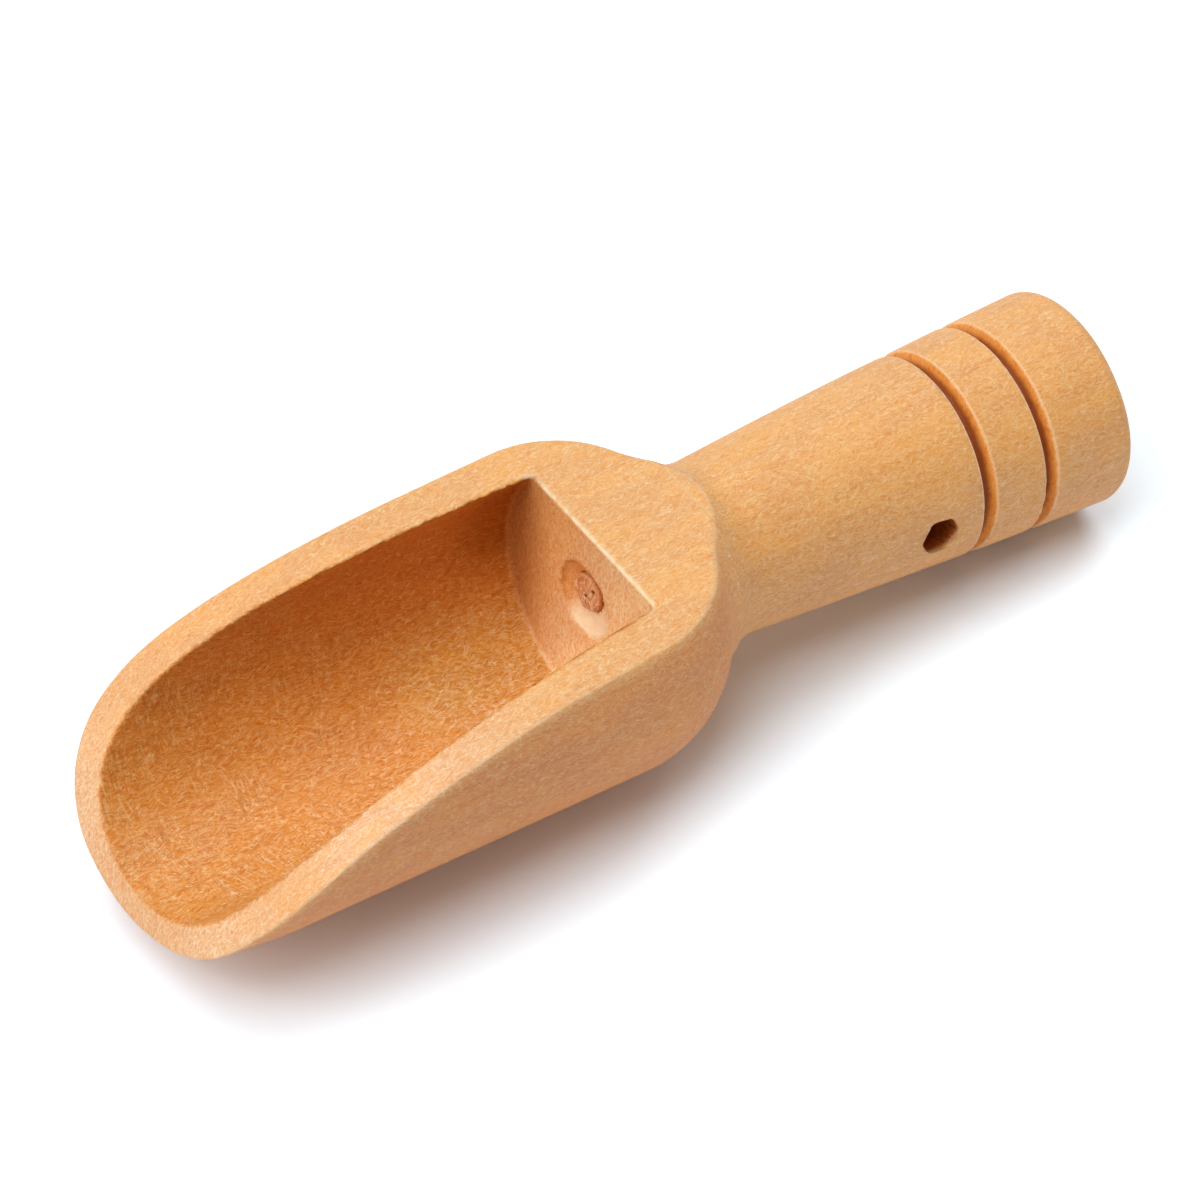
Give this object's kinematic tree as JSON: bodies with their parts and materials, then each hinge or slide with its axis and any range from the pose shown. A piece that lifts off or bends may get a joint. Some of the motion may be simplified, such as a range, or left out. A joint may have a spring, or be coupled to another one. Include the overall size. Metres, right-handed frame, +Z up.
{
  "type": "wooden scoop",
  "caption": "Small turned wooden scoop: bored round bowl with a swept mouth, level deck, rounded shoulder and a tapered handle with turned grooves and a cord hole, for measuring dry goods.",
  "frame": {"origin": "on the table the scoop rests on, under the middle of its box", "axes": "+X along the scoop from the mouth's tip to the handle's end, +Y across it, +Z up; the scoop lies as it rests, with its turning axis tilted about 5.8 degrees so that the handle's end touches the table"},
  "size_m": [0.0808, 0.025, 0.0185],
  "materials": {
    "bowl_wood": "satin",
    "handle_wood": "satin",
    "dowel_wood": "matte"
  },
  "bodies": {
    "root": {"scoop_bowl": "bowl_wood", "handle": "handle_wood", "neck_dowel": "dowel_wood"}
  },
  "joints": []
}
